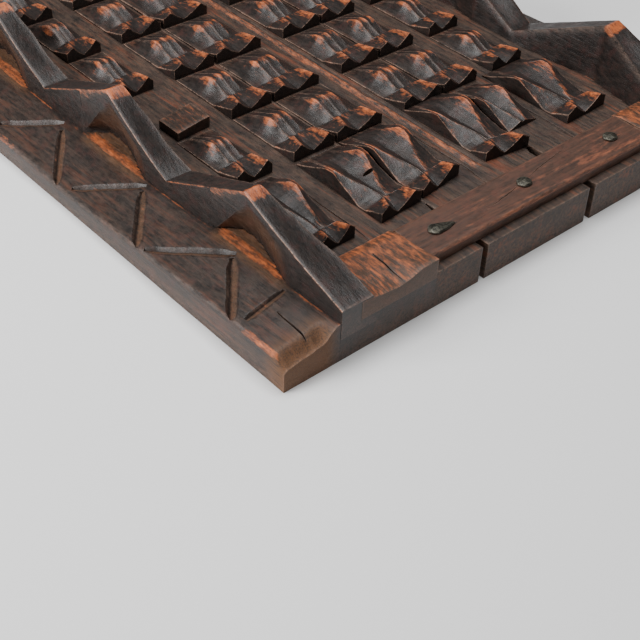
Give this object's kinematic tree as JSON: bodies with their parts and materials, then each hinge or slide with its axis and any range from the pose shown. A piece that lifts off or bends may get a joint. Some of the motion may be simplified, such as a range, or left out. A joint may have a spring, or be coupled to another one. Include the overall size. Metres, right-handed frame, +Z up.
{
  "type": "carved granary door",
  "caption": "Carved wooden granary door lying face up: planks with rows of chip-carved figures between two zigzag ridges, held by nailed battens.",
  "frame": {"origin": "centre of the underside", "axes": "+Z up out of the carved face, +Y along the planks from the lower end to the upper end, +X to the right as the carved face is seen with the lower end nearest"},
  "size_m": [0.5534, 0.7776, 0.0914],
  "materials": {
    "dark_wood": "old dark patina, waxed by handling, worn orange-brown on the high edges",
    "worn_wood": "reddish brown, worn along the grain, with dark patches",
    "iron": "hand-forged, dark, slightly shiny on the high spots"
  },
  "bodies": {
    "root": {"plank_left": "dark_wood", "plank_middle": "dark_wood", "plank_right": "dark_wood", "batten_lower": "worn_wood", "batten_upper": "worn_wood", "nail_lower_1": "iron", "nail_lower_2": "iron", "nail_lower_3": "iron", "nail_upper_1": "iron", "nail_upper_2": "iron", "nail_upper_3": "iron"}
  },
  "joints": []
}
